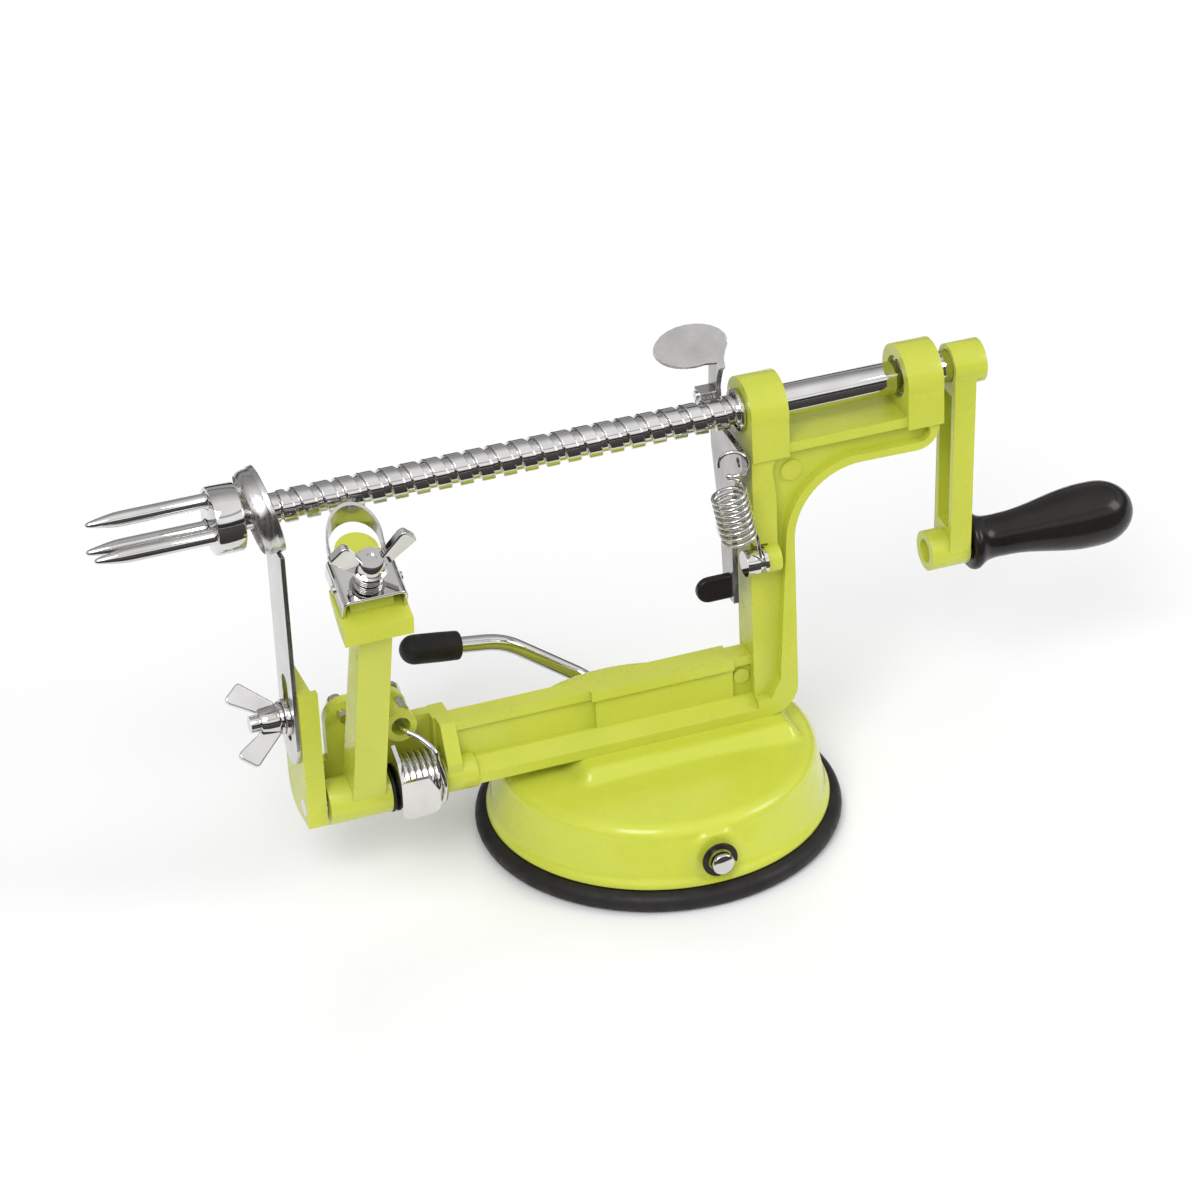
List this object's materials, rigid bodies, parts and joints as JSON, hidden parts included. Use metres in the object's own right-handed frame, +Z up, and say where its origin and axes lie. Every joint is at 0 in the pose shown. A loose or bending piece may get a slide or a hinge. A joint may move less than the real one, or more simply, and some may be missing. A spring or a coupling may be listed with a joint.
{
  "type": "apple peeler corer",
  "caption": "Suction-based apple peeler, corer and slicer: lime green cast frame, threaded chrome drive shaft with a crank, a sprung peeling blade and a coring ring.",
  "frame": {"origin": "Centre of the suction cup's rim, on the table.", "axes": "+X along the drive shaft from the apple fork to the crank, +Y away from the peeling blade's side, +Z up."},
  "size_m": [0.3132, 0.1144, 0.1513],
  "materials": {
    "lime_paint": "gloss",
    "chrome": "polished",
    "steel": "satin",
    "black_rubber": "matte",
    "black_plastic": "satin"
  },
  "bodies": {
    "frame": {"base_cap": "lime_paint", "suction_cup": "black_rubber", "frame_screws": "steel", "frame_casting": "lime_paint", "rear_bush": "steel", "release_pin": "chrome", "release_spring": "chrome", "spring_anchor": "chrome", "pivot_pin": "chrome", "pivot_clip": "black_plastic", "torsion_spring": "chrome", "stop_screws": "chrome", "slicer_stud": "chrome", "slicer_washer": "chrome"},
    "bearing": {"front_bush": "steel"},
    "shaft": {"screw_shaft": "chrome", "fork_hub": "chrome", "fork_prongs": "chrome", "crank_arm": "lime_paint", "crank_screw": "steel", "handle_bolt": "steel", "handle_washer": "steel"},
    "grip": {"handle_grip": "black_plastic"},
    "release": {"release_lever": "steel", "half_nut": "steel", "nut_rivets": "chrome"},
    "arm": {"peeler_arm": "lime_paint", "blade_bracket": "chrome", "peeler_blade": "steel", "bracket_pin": "steel", "blade_stud": "steel", "blade_spring": "chrome"},
    "blade_nut": {"blade_wing_nut": "chrome"},
    "latch": {"arm_latch": "chrome"},
    "lever": {"suction_lever": "chrome", "cam": "steel", "axle_clip": "black_plastic", "lever_tip": "black_rubber"},
    "lift": {"lift_yoke": "steel", "cup_plate": "steel"},
    "slicer": {"slicer_blade": "steel", "coring_ring": "steel"},
    "slicer_nut": {"slicer_wing_nut": "chrome"}
  },
  "joints": [
    {"name": "crank_spin", "type": "hinge", "parent": "frame", "child": "bearing", "pos_m": [0.036, 0, 0.128], "axis": [1, 0, 0], "range_deg": [0, 7200]},
    {"name": "shaft_feed", "type": "slide", "parent": "bearing", "child": "shaft", "axis": [1, 0, 0], "range_m": [0, 0.1271]},
    {"name": "handle_spin", "type": "hinge", "parent": "shaft", "child": "grip", "pos_m": [0.13, 0.004, 0.06603], "axis": [1, 0, 0], "continuous": true},
    {"name": "release_tilt", "type": "hinge", "parent": "frame", "child": "release", "pos_m": [0.0254, 0.002, 0.09], "axis": [-1, 0, 0], "range_deg": [0, 10], "stiffness_Nm_per_rad": 0.2, "springref_deg": -11.46, "deforming": ["release_spring"]},
    {"name": "arm_swing", "type": "hinge", "parent": "frame", "child": "arm", "pos_m": [-0.09, -0.004, 0.0325], "axis": [1, 0, 0], "range_deg": [0, 35], "stiffness_Nm_per_rad": 0.1, "springref_deg": -28.65},
    {"name": "blade_nut_turn", "type": "hinge", "parent": "arm", "child": "blade_nut", "pos_m": [-0.0902, -0.02699, 0.11619], "axis": [0, -0.4305, 0.9026], "range_deg": [-15, 15]},
    {"name": "latch_turn", "type": "hinge", "parent": "frame", "child": "latch", "pos_m": [-0.081, -0.004, 0.0325], "axis": [1, 0, 0], "range_deg": [0, 40]},
    {"name": "lever_turn", "type": "hinge", "parent": "frame", "child": "lever", "pos_m": [0, 0.05, 0.0144], "axis": [0, 1, 0], "range_deg": [0, 110]},
    {"name": "cup_lift", "type": "slide", "parent": "frame", "child": "lift", "axis": [0, 0, 1], "range_m": [0, 0.0022], "stiffness_N_per_m": 0.1, "springref_m": 1.6434},
    {"name": "slicer_slide", "type": "slide", "parent": "frame", "child": "slicer", "axis": [0, 0, 1], "range_m": [-0.002, 0.004]},
    {"name": "slicer_nut_turn", "type": "hinge", "parent": "frame", "child": "slicer_nut", "pos_m": [-0.112, 0, 0.061], "axis": [-1, 0, 0], "continuous": true}
  ],
  "couplings": [
    {"joint": "shaft_feed", "follows": "crank_spin", "m_per_rad": 0.0010106},
    {"joint": "cup_lift", "follows": "lever_turn", "m_per_rad": 0.00112}
  ]
}
